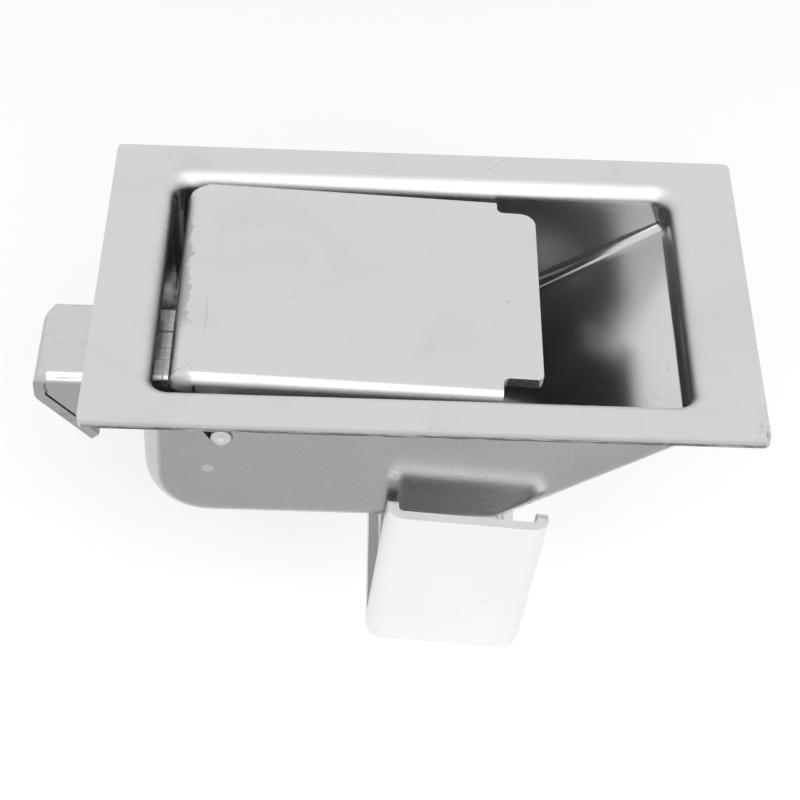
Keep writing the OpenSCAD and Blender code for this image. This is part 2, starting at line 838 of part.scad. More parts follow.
module clamp_stud() {
    color(zinc)
        translate([stud_x, 0, -pan_depth]) {
            translate([0, 0, -stud_base_h])
                cylinder(r = stud_base_r, h = stud_base_h, $fn = round_fn);
            translate([0, 0, -stud_l])
                cylinder(r = stud_r, h = stud_l - stud_base_h, $fn = round_fn);
        }
}

// Channel section of the bracket: web along X with its outer face at Y = 0, edges turned towards +Y
module channel() {
    half = bracket_w / 2;
    translate([-half + bracket_edge_r, 0])
        square([bracket_w - 2 * bracket_edge_r, bracket_t]);
    for (side = [0, 1])
        mirror([side, 0]) {
            translate([half - bracket_edge_r, bracket_edge_r])
                rotate(180)
                    bend(bracket_edge_r, bracket_t);
            translate([half - bracket_t, bracket_edge_r])
                square([bracket_t, bracket_lip - bracket_edge_r]);
        }
}

// What is cut off the far corner of a turned edge, with the corner at the origin
module lip_tip() {
    difference() {
        translate([-bracket_tip_r, -bracket_tip_r])
            square(bracket_tip_r + cut);
        translate([-bracket_tip_r, -bracket_tip_r])
            circle(r = bracket_tip_r, $fn = round_fn);
    }
}

// Channel bent into a U: two arms up to the panel and a strap across the pan's underside
module bracket_upright() {
    straight = arm_y - bracket_bend_r;
    difference() {
        union() {
            for (side = [0, 1])
                mirror([0, side, 0]) {
                    translate([0, -arm_y, bracket_bend_r])
                        linear_extrude(bracket_h - bracket_bend_r)
                            channel();
                    translate([0, -straight, bracket_bend_r])
                        rotate([0, 90, 0])
                            rotate([0, 0, -90])
                                rotate_extrude(angle = 90, $fn = round_fn)
                                    translate([bracket_bend_r, 0])
                                        rotate(90)
                                            channel();
                }
            translate([0, straight, 0])
                rotate([90, 0, 0])
                    linear_extrude(2 * straight)
                        channel();
        }
        translate([0, 0, -cut])
            cylinder(r = stud_r + bracket_clear, h = bracket_t + 2 * cut, $fn = round_fn);
        for (side = [0, 1])
            mirror([0, side, 0])
                translate([0, bracket_lip - arm_y, bracket_h])
                    run_x(-bracket_w / 2 - cut, bracket_w / 2 + cut)
                        lip_tip();
    }
}

module clamp_bracket() {
    color(zinc)
        translate([stud_x, 0, bracket_z])
            rotate([0, bracket_lean, 0])
                bracket_upright();
}

module flat_washer() {
    color(zinc)
        translate([stud_x, 0, washer_z - washer_t])
            difference() {
                cylinder(r = washer_r, h = washer_t, $fn = round_fn);
                translate([0, 0, -cut])
                    cylinder(r = stud_r + stud_clear, h = washer_t + 2 * cut, $fn = round_fn);
            }
}

module lock_washer() {
    color(zinc)
        translate([stud_x, 0, lock_z - lock_t])
            difference() {
                cylinder(r = lock_r, h = lock_t, $fn = round_fn);
                translate([0, 0, -cut])
                    cylinder(r = stud_r + stud_clear, h = lock_t + 2 * cut, $fn = round_fn);
                translate([0, -lock_cut / 2, -cut])
                    cube([lock_r + cut, lock_cut, lock_t + 2 * cut]);
            }
}

module clamp_nut() {
    color(zinc)
        translate([stud_x, 0, nut_z - nut_h])
            difference() {
                cylinder(d = nut_flats / cos(30), h = nut_h, $fn = 6);
                translate([0, 0, -cut])
                    cylinder(r = stud_r + stud_clear, h = nut_h + 2 * cut, $fn = round_fn);
            }
}

pan();
hinge_pin();
paddle();
paddle_spring();
latch_bolt();
spring_rod();
bolt_spring();
bolt_rail();
rail_rivets();
bolt_keeper();
clamp_stud();
clamp_bracket();
flat_washer();
lock_washer();
clamp_nut();
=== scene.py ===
"""Looks of a flush paddle latch: satin sheet steel, turned pins, spring wire and a bright zinc clamp."""

import json
import logging
import math
from dataclasses import dataclass
from enum import Enum
from functools import lru_cache
from typing import Optional, Union

import bmesh
import bpy
from mathutils import Matrix, Vector


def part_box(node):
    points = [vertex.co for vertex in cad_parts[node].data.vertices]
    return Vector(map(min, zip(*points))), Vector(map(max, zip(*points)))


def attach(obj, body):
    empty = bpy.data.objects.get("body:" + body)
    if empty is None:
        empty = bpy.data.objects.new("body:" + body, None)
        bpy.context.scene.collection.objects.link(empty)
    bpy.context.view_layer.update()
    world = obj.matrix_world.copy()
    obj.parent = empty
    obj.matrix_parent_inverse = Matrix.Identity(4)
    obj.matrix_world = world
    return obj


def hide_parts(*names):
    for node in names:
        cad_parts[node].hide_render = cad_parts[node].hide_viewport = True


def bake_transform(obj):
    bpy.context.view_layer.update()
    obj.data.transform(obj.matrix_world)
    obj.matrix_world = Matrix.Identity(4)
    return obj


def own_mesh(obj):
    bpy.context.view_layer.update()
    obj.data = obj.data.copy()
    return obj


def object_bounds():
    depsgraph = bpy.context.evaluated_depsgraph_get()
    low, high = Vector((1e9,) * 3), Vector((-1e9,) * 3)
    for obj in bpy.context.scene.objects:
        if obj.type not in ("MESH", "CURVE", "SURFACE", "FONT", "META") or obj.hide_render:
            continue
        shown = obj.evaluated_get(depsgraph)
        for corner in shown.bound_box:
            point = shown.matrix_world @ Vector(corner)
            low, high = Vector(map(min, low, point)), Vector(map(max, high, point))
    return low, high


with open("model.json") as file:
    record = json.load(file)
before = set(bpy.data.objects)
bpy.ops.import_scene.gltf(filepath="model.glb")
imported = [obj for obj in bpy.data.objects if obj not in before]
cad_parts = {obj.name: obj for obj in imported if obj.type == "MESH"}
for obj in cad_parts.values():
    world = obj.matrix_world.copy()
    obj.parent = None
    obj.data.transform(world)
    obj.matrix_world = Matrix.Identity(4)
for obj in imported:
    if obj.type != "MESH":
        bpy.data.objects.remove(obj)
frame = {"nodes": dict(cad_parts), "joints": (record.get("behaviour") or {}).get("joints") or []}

for spare in ("Cube", "Light", "Camera"):
    if spare in bpy.data.objects:
        bpy.data.objects.remove(bpy.data.objects[spare])
bpy.context.view_layer.update()
cad_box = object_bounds()

LOG = logging.getLogger("latch")
MM = 0.001

Number = Union[int, float]
Operand = Union["Signal", Number]
Colour = tuple[float, float, float]


class Grain(Enum):
    """Which way a finish was rubbed or drawn, as stretches of the grain along the three axes."""

    ALONG = (0.05, 1.0, 1.0)
    NONE = (1.0, 1.0, 1.0)


class Signal:
    """A socket of a material's node tree, with arithmetic that adds Math nodes."""

    def __init__(self, tree: bpy.types.NodeTree, socket: Optional[bpy.types.NodeSocket]) -> None:
        """Wraps one output socket.

        Args:
            tree: The node tree that the socket belongs to.
            socket: The output socket, or none for a node without outputs.
        """
        self.tree = tree
        self.socket = socket

    def _math(self, operation: str, left: Operand, right: Operand) -> "Signal":
        """Adds a Math node.

        Args:
            operation: The node's operation.
            left: First operand.
            right: Second operand.

        Returns:
            The node's result.
        """
        return Signal.add(self.tree, "ShaderNodeMath", {"operation": operation}, {0: left, 1: right})

    def __add__(self, other: Operand) -> "Signal":
        """Adds a number or signal.

        Args:
            other: What is added.

        Returns:
            The sum.
        """
        return self._math("ADD", self, other)

    def __radd__(self, other: Operand) -> "Signal":
        """Adds this signal to a number.

        Args:
            other: The number on the left.

        Returns:
            The sum.
        """
        return self._math("ADD", other, self)

    def __sub__(self, other: Operand) -> "Signal":
        """Takes a number or signal away.

        Args:
            other: What is taken away.

        Returns:
            The difference.
        """
        return self._math("SUBTRACT", self, other)

    def __rsub__(self, other: Operand) -> "Signal":
        """Takes this signal away from a number.

        Args:
            other: The number on the left.

        Returns:
            The difference.
        """
        return self._math("SUBTRACT", other, self)

    def __mul__(self, other: Operand) -> "Signal":
        """Multiplies by a number or signal.

        Args:
            other: The factor.

        Returns:
            The product.
        """
        return self._math("MULTIPLY", self, other)

    def __rmul__(self, other: Operand) -> "Signal":
        """Multiplies a number by this signal.

        Args:
            other: The number on the left.

        Returns:
            The product.
        """
        return self._math("MULTIPLY", other, self)

    def __gt__(self, other: Operand) -> "Signal":
        """Tests where the signal is larger.

        Args:
            other: What it is compared with.

        Returns:
            One where it is larger, else zero.
        """
        return self._math("GREATER_THAN", self, other)

    def __lt__(self, other: Operand) -> "Signal":
        """Tests where the signal is smaller.

        Args:
            other: What it is compared with.

        Returns:
            One where it is smaller, else zero.
        """
        return self._math("LESS_THAN", self, other)

    def __abs__(self) -> "Signal":
        """Drops the sign.

        Returns:
            The signal's size.
        """
        return self._math("ABSOLUTE", self, 0.0)

    def fade(self, start: float, end: float) -> "Signal":
        """Smooth step.

        Args:
            start: Value that gives 0.
            end: Value that gives 1.

        Returns:
            A signal from 0 to 1.
        """
        rising = start < end
        settings = {"interpolation_type": "SMOOTHSTEP"}
        low, high = (start, end) if rising else (end, start)
        out = (0.0, 1.0) if rising else (1.0, 0.0)
        inputs = {"Value": self, 1: low, 2: high, 3: out[0], 4: out[1]}
        return Signal.add(self.tree, "ShaderNodeMapRange", settings, inputs)

    @staticmethod
    def add(
        tree: bpy.types.NodeTree,
        kind: str,
        settings: Optional[dict] = None,
        inputs: Optional[dict] = None,
        out: Union[int, str] = 0,
    ) -> "Signal":
        """Adds any node to a tree.

        Args:
            tree: The node tree.
            kind: The node's type name.
            settings: Properties of the node, set before its sockets.
            inputs: Values or signals for sockets, by name or number.
            out: The output socket to return.

        Returns:
            The chosen output as a signal.
        """
        node = tree.nodes.new(kind)
        for name, value in (settings or {}).items():
            setattr(node, name, value)
        for name, value in (inputs or {}).items():
            if isinstance(value, Signal):
                tree.links.new(value.socket, node.inputs[name])
            else:
                node.inputs[name].default_value = value
        return Signal(tree, node.outputs[out] if len(node.outputs) else None)


def rgba(colour: Colour) -> tuple[float, float, float, float]:
    """Adds a full alpha to a colour.

    Args:
        colour: Red, green and blue.

    Returns:
        The colour with its alpha.
    """
    return (*colour, 1.0)


def noise(
    tree: bpy.types.NodeTree,
    place: Signal,
    scale: Vector,
    detail: float,
    roughness: float = 0.5,
    distortion: float = 0.0,
) -> Signal:
    """Adds a stretched noise.

    Args:
        tree: The node tree.
        place: Coordinates that it follows.
        scale: Grains per metre along each axis.
        detail: Finer layers of the noise.
        roughness: Strength of the finer layers.
        distortion: Swirl of the noise.

    Returns:
        The noise, around 0.5.
    """
    scaled = Signal.add(tree, "ShaderNodeMapping", None, {"Vector": place, "Scale": scale})
    inputs = {
        "Vector": scaled, "Scale": 1.0, "Detail": detail, "Roughness": roughness, "Distortion": distortion,
    }
    return Signal.add(tree, "ShaderNodeTexNoise", None, inputs)


def split(tree: bpy.types.NodeTree, place: Signal) -> tuple[Signal, Signal, Signal]:
    """Splits coordinates into X, Y and Z.

    Args:
        tree: The node tree.
        place: The coordinates.

    Returns:
        The three parts.
    """
    x = Signal.add(tree, "ShaderNodeSeparateXYZ", None, {"Vector": place})
    return x, Signal(tree, x.socket.node.outputs[1]), Signal(tree, x.socket.node.outputs[2])


@dataclass(frozen=True)
class Marks:
    """What the marks of one piece do to its finish.

    Attributes:
        polish: Where the surface is polished, from 0 to 1.
        painted_shade: Where painted shade darkens it towards the painted shade colour, from 0 to 1.
        dark: Where it is marked with the shade colour.
        rough: Where it is rougher.
        height: Raised or sunk marks.
    """

    polish: Operand = 0.0
    painted_shade: Operand = 0.0
    dark: Operand = 0.0
    rough: Operand = 0.0
    height: Operand = 0.0


@dataclass(frozen=True)
class Wear:
    """How strongly each kind of wear acts on a finish.

    Attributes:
        smudge_dark: Darkening in the smudges.
        pit_dark: Darkening in the pits.
        scratch_dark: Darkening in the scratches.
        fine_dark: Darkening by the fine texture.
        grain_rough: Roughness of the grain.
        fine_rough: Roughness of the fine texture.
        scratch_rough: Roughness in the scratches.
        polish_rough: Share of the roughness that polish takes away.
        polish_metal: Share of the bare metal that polish takes away.
        grain_height: Height of the grain.
        polish_height: Height of the grain that polish takes away.
        fine_height: Height of the fine texture.
        scratch_height: Depth of the scratches.
        pit_height: Depth of the pits.
        bump: Strength of all heights together.
    """

    smudge_dark: float = 0.07
    pit_dark: float = 0.2
    scratch_dark: float = 0.13
    fine_dark: float = 0.02
    grain_rough: float = 0.10
    fine_rough: float = 0.05
    scratch_rough: float = 0.06
    polish_rough: float = 0.36
    polish_metal: float = 0.06
    grain_height: float = 0.8
    polish_height: float = 0.6
    fine_height: float = 0.05
    scratch_height: float = 1.2
    pit_height: float = 1.2
    bump: float = 0.5


WEAR = Wear()


@dataclass(frozen=True)
class MetalFinish:
    """A bare or plated metal surface with grain, smudges, scratches and pits.

    Attributes:
        name: Name of the material.
        colour: Reflected colour.
        shade: Colour in the smudges, pits and dark marks.
        painted_shade: Colour of the painted shade.
        roughness: Roughness of the clean surface.
        metallic: How far the surface is bare metal.
        grain: Direction of the grain.
        grain_scale: Lines of grain per metre.
        grain_depth: Height of the grain in metres.
        smudge_scale: Smudges per metre.
        smudge: Added roughness in the smudges.
        scratch: How far the scratches spread; more is wider.
        pit: How far the pits spread; more is wider.
    """

    name: str
    colour: Colour
    shade: Colour
    painted_shade: Colour
    roughness: float
    metallic: float = 1.0
    grain: Grain = Grain.ALONG
    grain_scale: float = 5200.0
    grain_depth: float = 4e-6
    smudge_scale: float = 55.0
    smudge: float = 0.05
    scratch: float = 0.02
    pit: float = -0.04

    def marks(self, tree: bpy.types.NodeTree, place: Signal) -> Marks:
        """Marks that belong to one place on a piece; none for a plain finish.

        Args:
            tree: The node tree.
            place: Object coordinates.

        Returns:
            The marks.
        """
        return Marks()

    @lru_cache(maxsize=None)
    def material(self) -> bpy.types.Material:
        """Makes the material once.

        Returns:
            A node-based material on Object coordinates.
        """
        made = bpy.data.materials.new(self.name)
        made.use_nodes = True
        tree = made.node_tree
        tree.nodes.clear()
        place = Signal.add(tree, "ShaderNodeTexCoord", out="Object")
        grain = noise(tree, place, Vector(self.grain.value) * self.grain_scale, 3.0, 0.6)
        fine = noise(tree, place, Vector((900.0, 900.0, 900.0)), 4.0, 0.7)
        cloud = noise(tree, place, Vector((1.0, 1.0, 1.0)) * self.smudge_scale, 5.0, 0.55, 0.6)
        smudge = cloud.fade(0.45, 0.72)
        scratch = self.scratches(tree, place)
        cells = {"Vector": place, "Scale": 420.0}
        spots = Signal.add(tree, "ShaderNodeTexVoronoi", {"feature": "F1"}, cells)
        rare = noise(tree, place, Vector((130.0, 130.0, 130.0)), 1.0)
        pit = spots.fade(0.16, 0.05) * rare.fade(0.62 - self.pit, 0.70 - self.pit)
        own = self.marks(tree, place)
        worn = smudge * WEAR.smudge_dark + pit * WEAR.pit_dark + scratch * WEAR.scratch_dark
        worn = worn + (fine - 0.5) * WEAR.fine_dark + own.dark
        mix = {"data_type": "RGBA", "clamp_factor": True}
        # Mixes the painted shade into the clean colour.
        sides = {0: own.painted_shade, 6: rgba(self.colour), 7: rgba(self.painted_shade)}
        clean = Signal.add(tree, "ShaderNodeMix", mix, sides, out=2)
        colour = Signal.add(tree, "ShaderNodeMix", mix, {0: worn, 6: clean, 7: rgba(self.shade)}, out=2)
        plain = self.roughness + smudge * self.smudge
        plain = plain + (grain - 0.5) * WEAR.grain_rough + (fine - 0.5) * WEAR.fine_rough
        roughness = plain * (1.0 - own.polish * WEAR.polish_rough) + scratch * WEAR.scratch_rough + own.rough
        metallic = self.metallic - own.polish * WEAR.polish_metal
        height = (grain - 0.5) * (WEAR.grain_height - own.polish * WEAR.polish_height)
        height = height + (fine - 0.5) * WEAR.fine_height
        height = height - scratch * WEAR.scratch_height - pit * WEAR.pit_height + own.height
        relief = {"Height": height, "Strength": WEAR.bump, "Distance": self.grain_depth}
        bump = Signal.add(tree, "ShaderNodeBump", None, relief)
        shader = Signal.add(
            tree, "ShaderNodeBsdfPrincipled", None,
            {"Base Color": colour, "Metallic": metallic, "Roughness": roughness, "Normal": bump},
        )
        Signal.add(tree, "ShaderNodeOutputMaterial", None, {"Surface": shader})
        return made

    def scratches(self, tree: bpy.types.NodeTree, place: Signal) -> Signal:
        """Fine scratches in two directions.

        Args:
            tree: The node tree.
            place: Object coordinates.

        Returns:
            One on a scratch, else zero.
        """
        lines: Operand = 0.0
        for turn, scale in ((0.4, 260.0), (-0.9, 210.0)):
            lie = {"Vector": place, "Rotation": (0.3, 0.2, turn)}
            turned = Signal.add(tree, "ShaderNodeMapping", None, lie)
            line = abs(noise(tree, turned, Vector((9.0, scale, scale)), 0.0) - 0.5).fade(0.012, 0.0)
            where = noise(tree, place, Vector((1.0, 1.0, 1.0)) * (70.0 + scale / 9.0), 1.0)
            lines = lines + line * where.fade(0.62 - self.scratch, 0.68 - self.scratch)
        return lines


@dataclass(frozen=True)
class PanSheet(MetalFinish):
    """Sheet of the pan: satin outside and on the flange, polished by the drawing tool in the recess, with
    painted shade on the outside walls.

    Attributes:
        flange: Half length and half width of the flange.
        inside: Half width of the pan's inside.
        weld: Where a stud weld shows through the front wall, in X and Z.
        ramp: X and Z where the ramp begins under the pan, and its rise along X.
    """

    flange: tuple[float, float] = (0.060, 0.037)
    inside: float = 0.0279
    weld: tuple[float, float] = (-0.0384, -0.0175)
    ramp: tuple[float, float, float] = (0.0153, -0.0302, 0.7133)

    def marks(self, tree: bpy.types.NodeTree, place: Signal) -> Marks:
        """Polished recess, painted shade on the outside walls, sheared flange edge, weld spot and rubbed
        slope.

        Args:
            tree: The node tree.
            place: Object coordinates.

        Returns:
            The marks.
        """
        x, y, z = split(tree, place)
        within = abs(y) < self.inside + 0.001
        polish = z.fade(-0.0005, -0.0045) * within
        # Painted shade darkens the outside walls below the flange, in a random cloudy tone and less at the
        # weld spot.
        outside = abs(y).fade(self.inside + 0.0012, self.inside + 0.0018) * (z < -0.0002)
        streaks = noise(tree, place, Vector((160.0, 160.0, 2600.0)), 3.0, 0.7)
        side = Signal.add(tree, "ShaderNodeMath", {"operation": "MAXIMUM"}, {
            0: abs(y) > self.flange[1] - 0.0001, 1: abs(x) > self.flange[0] - 0.0001,
        })
        past_ragged_line = side * (z + (streaks - 0.5) * 0.0024).fade(0.0011, 0.0004)
        sheared = side * z.fade(0.0017, 0.0013)
        rim = abs(y) < self.flange[1] - 0.0025
        roll = z.fade(-0.0015, 0.0012) * z.fade(0.00199, 0.0017) * rim
        off_x, off_z = x - self.weld[0], z - self.weld[1]
        ring = noise(tree, place, Vector((420.0, 420.0, 420.0)), 2.0)
        apart = off_x * off_x + off_z * off_z * 1.6 + (ring - 0.5) * 2.4e-6
        spot = apart.fade(2.2e-6, 0.9e-6) * (y < -0.029)
        above = z - (x - self.ramp[0]) * self.ramp[2] - self.ramp[1]
        slope = abs(above).fade(0.0022, 0.0004) * (y < -0.0285) * (x > 0.014)
        rub = slope * noise(tree, place, Vector((900.0, 300.0, 900.0)), 3.0, 0.7).fade(0.52, 0.66)
        cloud = noise(tree, place, Vector((28.0, 28.0, 60.0)), 3.0)
        return Marks(
            polish=polish,
            painted_shade=outside * (0.78 + cloud * 0.44) * (1.0 - spot * 0.5),
            dark=past_ragged_line * streaks.fade(0.30, 0.62) + sheared * streaks * 0.35 + rub * 0.65,
            rough=past_ragged_line * 0.25 + sheared * 0.1 + rub * 0.2 + spot * 0.12 + roll * 0.20,
            height=sheared * (streaks - 0.5) * 8.0 + spot * 2.0,
        )


@dataclass(frozen=True)
class PaddleSheet(MetalFinish):
    """Sheet of the paddle, with a ragged patch of painted shade along its rolled end and painted shade on
    its side flanges.

    Attributes:
        edge: X of the far side of the painted shade patch.
        patch: Y where the patch begins and ends.
        line: X of a faint line that runs across the paddle, and the Y where it begins and ends.
        top: X and Z of a place on the paddle's top, and the fall of the top along X.
    """

    edge: float = -0.0432
    patch: tuple[float, float] = (-0.0135, 0.0195)
    line: tuple[float, float, float] = (-0.0394, -0.0170, -0.0045)
    top: tuple[float, float, float] = (-0.0358, 0.0025, 0.0437)

    def marks(self, tree: bpy.types.NodeTree, place: Signal) -> Marks:
        """Painted shade in a ragged patch on the rolled end and on the side flanges, and a faint line.

        Args:
            tree: The node tree.
            place: Object coordinates.

        Returns:
            The marks.
        """
        x, y, z = split(tree, place)
        wander = noise(tree, place, Vector((150.0, 210.0, 150.0)), 4.0, 0.65)
        near, far = self.patch
        reach = y.fade(near - 0.002, near + 0.004) * y.fade(far, far - 0.006)
        # A ragged patch of painted shade over the rolled end, where the roll turns away from the light.
        past_ragged_line = (x - (wander - 0.52) * 0.0085).fade(self.edge + 0.00015, self.edge - 0.00015)
        ragged_shade = past_ragged_line * reach * (z > 0.0)
        run = y.fade(self.line[1], self.line[1] + 0.003) * y.fade(self.line[2], self.line[2] - 0.003)
        bow = noise(tree, place, Vector((60.0, 160.0, 60.0)), 2.0)
        line = abs(x - self.line[0] - (bow - 0.5) * 0.0014).fade(0.00016, 0.00004) * run * (z > 0.0)
        # Painted shade on the side flanges, below the top's edge, where the sheet is also rougher.
        under = self.top[1] - (x - self.top[0]) * self.top[2] - z
        sides = under.fade(0.0005, 0.0013) * abs(y).fade(0.0250, 0.0256)
        return Marks(
            painted_shade=sides,
            dark=ragged_shade * 0.34 + line * 0.26,
            rough=ragged_shade * 0.10 + sides * 0.20,
            height=line * -1.5,
        )


@dataclass(frozen=True)
class BoltSheet(MetalFinish):
    """Sheet of the bolt and its rail, scuffed on the bolt's top, with painted shade on the side flanges.

    Attributes:
        seam: Y of the line across the bolt's top behind the end wall.
        hidden: X where that part of the top begins and ends.
        top: Height above which the top's marks lie.
    """

    seam: float = 0.0019
    hidden: tuple[float, float] = (-0.0500, -0.0380)
    top: float = -0.0165

    def marks(self, tree: bpy.types.NodeTree, place: Signal) -> Marks:
        """Scuffs of the bolt's sliding, the seam across its top and painted shade on the side flanges.

        Args:
            tree: The node tree.
            place: Object coordinates.

        Returns:
            The marks.
        """
        x, y, z = split(tree, place)
        scuffs = noise(tree, place, Vector((80.0, 2200.0, 300.0)), 2.0, 0.6)
        patch = noise(tree, place, Vector((120.0, 160.0, 120.0)), 3.0)
        rub = scuffs.fade(0.56, 0.70) * patch.fade(0.48, 0.62)
        # Painted shade on the side flanges, below the top.
        sides = abs(y).fade(0.0095, 0.0102) * z.fade(-0.0160, -0.0172)
        behind = (x > self.hidden[0]) * (x < self.hidden[1]) * (z > self.top)
        ridge = abs(y - self.seam).fade(0.00035, 0.00008) * behind
        groove = abs(y - self.seam - 0.0006).fade(0.00030, 0.00008) * behind
        return Marks(
            painted_shade=sides * 0.9,
            dark=rub * 0.4 + groove * 0.7,
            rough=rub * 0.08 + sides * 0.05,
            height=ridge * 20.0 - groove * 12.0 - rub,
        )


STEEL = (0.655, 0.655, 0.655)
SHADE = (0.14, 0.142, 0.145)
# Grey of the painted shade on the pan's outside walls and the bolt's side flanges; the other finishes do not
# use it.
PAINTED_SHADE_GREY = (0.375, 0.378, 0.382)
PAN_SHEET = PanSheet("pan_sheet", STEEL, SHADE, PAINTED_SHADE_GREY, 0.27)
# The paddle's painted shade grey is lighter than the others.
PADDLE_SHEET = PaddleSheet("paddle_sheet", STEEL, SHADE, (0.62, 0.622, 0.625), 0.27)
BOLT_SHEET = BoltSheet("bolt_sheet", (0.61, 0.61, 0.61), SHADE, PAINTED_SHADE_GREY, 0.26)
TURNED_STEEL = MetalFinish(
    "turned_steel", (0.62, 0.625, 0.63), SHADE, PAINTED_SHADE_GREY, 0.26, grain=Grain.NONE,
    grain_scale=3000.0, grain_depth=6e-6,
)
SPRING_WIRE = MetalFinish(
    "spring_wire", (0.50, 0.51, 0.53), SHADE, PAINTED_SHADE_GREY, 0.28, grain=Grain.NONE,
    grain_scale=3600.0, grain_depth=5e-6,
)
ZINC_PLATE = MetalFinish(
    "zinc_plate", (0.95, 0.965, 0.972), (0.66, 0.68, 0.69), PAINTED_SHADE_GREY, 0.34, metallic=0.9, grain=Grain.NONE,
    grain_scale=2600.0, grain_depth=5e-6, smudge_scale=70.0, smudge=0.05, scratch=0.035, pit=0.03,
)


class Shape:
    """Helpers that turn a bmesh into a finished piece.

    Attributes:
        STEPS: Steps of a coil in one turn.
        SIDES: Sides of round wire.
    """

    STEPS = 32
    SIDES = 12

    @staticmethod
    def piece(
        name: str, mesh: bmesh.types.BMesh, material: bpy.types.Material, smooth: float = 35.0
    ) -> bpy.types.Object:
        """Makes an object at the origin from a bmesh, which is freed.

        Args:
            name: Name of the piece.
            mesh: Its geometry in metres, in the row frame.
            material: Its material.
            smooth: Angle in degrees up to which neighbouring faces are shaded smoothly.

        Returns:
            The new object, linked to the scene.
        """
        bmesh.ops.remove_doubles(mesh, verts=mesh.verts, dist=1e-7)
        bmesh.ops.recalc_face_normals(mesh, faces=mesh.faces)
        data = bpy.data.meshes.new(name)
        mesh.to_mesh(data)
        mesh.free()
        data.shade_smooth()
        data.set_sharp_from_angle(angle=math.radians(smooth))
        data.materials.append(material)
        made = bpy.data.objects.new(name, data)
        bpy.context.scene.collection.objects.link(made)
        return made

    @staticmethod
    def coil(
        mesh: bmesh.types.BMesh,
        start: Vector,
        centre: Vector,
        axis: Vector,
        wire: float,
        turns: float,
        pitch: float,
    ) -> list[bmesh.types.BMEdge]:
        """Winds round wire into a coil.

        Args:
            mesh: Bmesh that gets the coil.
            start: Middle of the wire where the coil begins.
            centre: A point on the coil's axis.
            axis: Direction of the coil's axis.
            wire: Radius of the wire.
            turns: Number of turns.
            pitch: Advance for each turn along the axis.

        Returns:
            The last ring of the wire.
        """
        steps = int(round(turns * Shape.STEPS))
        arm = (start - centre) - (start - centre).dot(axis) * axis
        way = axis.cross(arm).normalized() + axis * pitch / (2 * math.pi * arm.length)
        turn = way.to_track_quat("Z", "Y").to_matrix().to_4x4()
        lie = Matrix.Translation(start) @ turn
        ring = bmesh.ops.create_circle(mesh, segments=Shape.SIDES, radius=wire, matrix=lie)
        edges = list({e for v in ring["verts"] for e in v.link_edges})
        bmesh.ops.contextual_create(mesh, geom=edges)
        swept = bmesh.ops.spin(
            mesh, geom=edges, cent=centre, axis=axis, dvec=axis * pitch * turns / steps,
            angle=2 * math.pi * turns, steps=steps,
        )
        return [g for g in swept["geom_last"] if isinstance(g, bmesh.types.BMEdge)]


@dataclass
class SubAssembly:
    """Pieces that are made and dressed together.

    Attributes:
        edge: Radius of the softened edges.
        sharp: Angle in degrees above which an edge is softened.
    """

    edge: float = 0.2 * MM
    sharp: float = 32.0

    def dress(self, node: str, finish: MetalFinish) -> bpy.types.Object:
        """Gives a CAD node its finish and soft edges.

        Args:
            node: The node's name.
            finish: Its finish.

        Returns:
            The node's object.
        """
        shown = frame["nodes"][node]
        data = shown.data
        if "custom_normal" in data.attributes:
            data.attributes.remove(data.attributes["custom_normal"])
        for face in data.polygons:
            face.use_smooth = True
        data.materials.clear()
        data.materials.append(finish.material())
        weld = shown.modifiers.new("weld", "WELD")
        weld.merge_threshold = 1e-7
        bevel = shown.modifiers.new("soft_edges", "BEVEL")
        bevel.width = self.edge
        bevel.segments = 3
        bevel.limit_method = "ANGLE"
        bevel.angle_limit = math.radians(self.sharp)
        bevel.use_clamp_overlap = True
        normals = shown.modifiers.new("normals", "WEIGHTED_NORMAL")
        normals.mode = "FACE_AREA_WITH_ANGLE"
        normals.weight = 50
        LOG.info("dressed %s", node)
        return shown

    def build(self) -> None:
        """Makes and dresses the pieces."""
        raise NotImplementedError


@dataclass
class PanAssembly(SubAssembly):
    """Drawn pan and the hinge pin through its walls.

    Attributes:
        pin_edge: Radius of the pin's turned edges.
    """

    pin_edge: float = 0.3 * MM

    def build(self) -> None:
        """Dresses the pan and the pin."""
        self.dress("pan", PAN_SHEET)
        self.dress("hinge_pin", TURNED_STEEL).modifiers["soft_edges"].width = self.pin_edge


@dataclass
class PaddleAssembly(SubAssembly):
    """Folded paddle and the torsion spring that closes it.

    Attributes:
        wire: Wire radius of the spring.
        turns: Turns of the spring.
        hinge_z: Height of the hinge pin's axis.
    """

    wire: float = 0.6 * MM
    turns: int = 5
    hinge_z: float = -9.1 * MM

    def build(self) -> None:
        """Dresses the paddle and winds its spring."""
        self.dress("paddle", PADDLE_SHEET)
        self.spring()

    def spring(self) -> bpy.types.Object:
        """Winds the paddle spring on the pin, one arm on the pan and the other under the paddle.

        Returns:
            The spring.
        """
        low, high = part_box("paddle_spring")
        arm_x, near, far = low.x + self.wire, low.y + self.wire, high.y - self.wire
        mesh = bmesh.new()
        ring = Shape.coil(
            mesh, Vector((arm_x, near, self.hinge_z)), Vector(((low.x + high.x) / 2, near, self.hinge_z)),
            Vector((0, 1, 0)), self.wire, self.turns, (far - near) / self.turns
        )
        bmesh.ops.contextual_create(mesh, geom=ring)
        for y, bottom, top in ((near, low.z, self.hinge_z), (far, self.hinge_z, high.z)):
            bmesh.ops.create_cone(
                mesh, cap_ends=True, segments=Shape.SIDES, radius1=self.wire, radius2=self.wire,
                depth=top - bottom, matrix=Matrix.Translation((arm_x, y, (bottom + top) / 2)),
            )
        made = Shape.piece("paddle_spring_wire", mesh, SPRING_WIRE.material())
        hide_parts("paddle_spring")
        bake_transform(made)
        LOG.info("wound %s", made.name)
        return made


